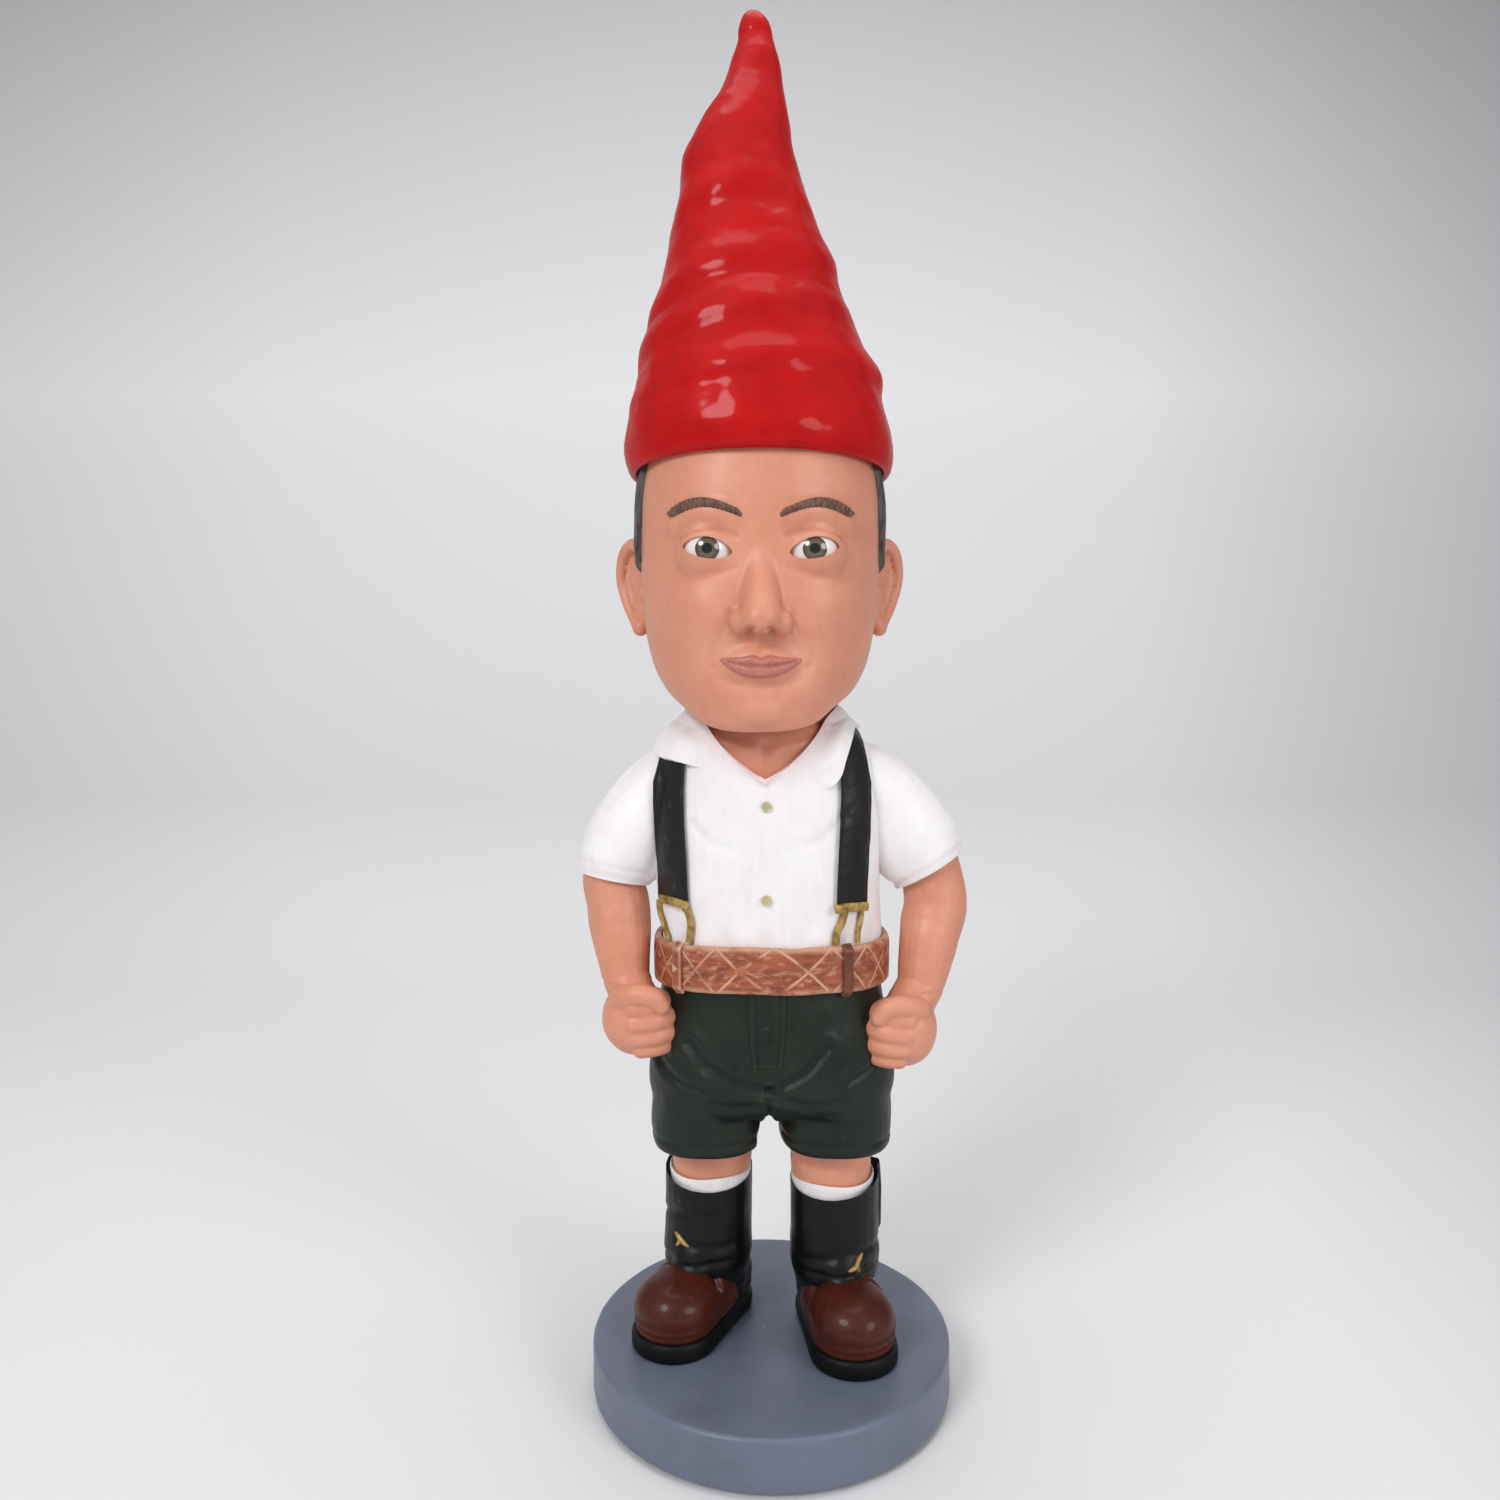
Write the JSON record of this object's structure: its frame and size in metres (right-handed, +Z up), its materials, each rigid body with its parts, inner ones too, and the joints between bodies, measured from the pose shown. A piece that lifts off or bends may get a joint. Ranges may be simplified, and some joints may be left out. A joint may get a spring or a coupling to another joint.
{
  "type": "bobble-head garden gnome",
  "caption": "Bobble-head garden gnome in a tall red pointed hat, white shirt, braces and green shorts, standing on a round base with its head on a coil spring.",
  "frame": {"origin": "centre of the underside of the base pad, on the surface that the figure stands on", "axes": "+Z up, the figure faces -Y, +X is the figure's own left (the viewer's right)"},
  "size_m": [0.0751, 0.07, 0.266],
  "materials": {
    "skin": "satin",
    "hat_red": "gloss",
    "hair": "matte",
    "eye_white": "gloss",
    "iris": "gloss",
    "brow": "matte",
    "lip": "satin",
    "shirt_white": "matte",
    "strap_black": "satin",
    "brass": "satin",
    "belt_brown": "matte",
    "loop_brown": "matte",
    "shorts_green": "satin",
    "sock_white": "matte",
    "boot_black": "satin",
    "toe_brown": "gloss",
    "sole_black": "matte",
    "base_grey": "matte",
    "felt": "matte",
    "steel": "satin",
    "plug": "matte",
    "button": "satin"
  },
  "bodies": {
    "figure": {"base": "base_grey", "base_pad": "felt", "left_leg_rod": "steel", "right_leg_rod": "steel", "spine_rod": "steel", "left_arm_pin": "steel", "right_arm_pin": "steel", "left_sole": "sole_black", "right_sole": "sole_black", "left_toe_cap": "toe_brown", "right_toe_cap": "toe_brown", "left_boot_shaft": "boot_black", "right_boot_shaft": "boot_black", "left_lace_tie": "brass", "right_lace_tie": "brass", "left_sock": "sock_white", "right_sock": "sock_white", "left_leg": "skin", "right_leg": "skin", "shorts": "shorts_green", "fly_panel": "shorts_green", "belt": "belt_brown", "left_belt_loop": "loop_brown", "right_belt_loop": "loop_brown", "shirt": "shirt_white", "left_sleeve": "shirt_white", "right_sleeve": "shirt_white", "left_collar": "shirt_white", "right_collar": "shirt_white", "shirt_buttons": "button", "left_strap": "strap_black", "right_strap": "strap_black", "left_clip": "brass", "right_clip": "brass", "rear_clips": "brass", "left_arm": "skin", "right_arm": "skin", "left_hand": "skin", "right_hand": "skin", "neck": "skin", "spring_cup": "plug"},
    "spring": {"spring": "steel"},
    "spring_cap": {"spring_cap": "plug"},
    "head": {"head": "skin", "left_ear": "skin", "right_ear": "skin", "hair": "hair", "eyes": "eye_white", "irises": "iris", "eyebrows": "brow", "lips": "lip", "hat": "hat_red"}
  },
  "joints": [
    {"name": "head_tilt", "type": "hinge", "parent": "figure", "child": "spring", "pos_m": [-0.0015, 0, 0.134], "axis": [0, 1, 0], "range_deg": [-8, 8], "stiffness_Nm_per_rad": 0.3, "deforming": ["spring"]},
    {"name": "head_nod", "type": "hinge", "parent": "spring", "child": "spring_cap", "pos_m": [-0.0015, 0, 0.134], "axis": [1, 0, 0], "range_deg": [-8, 8], "stiffness_Nm_per_rad": 0.3, "deforming": ["spring"]},
    {"name": "head_turn", "type": "hinge", "parent": "spring_cap", "child": "head", "pos_m": [-0.0015, 0, 0.134], "axis": [0, 0, 1], "range_deg": [-20, 20], "stiffness_Nm_per_rad": 0.05, "deforming": ["spring"]}
  ]
}
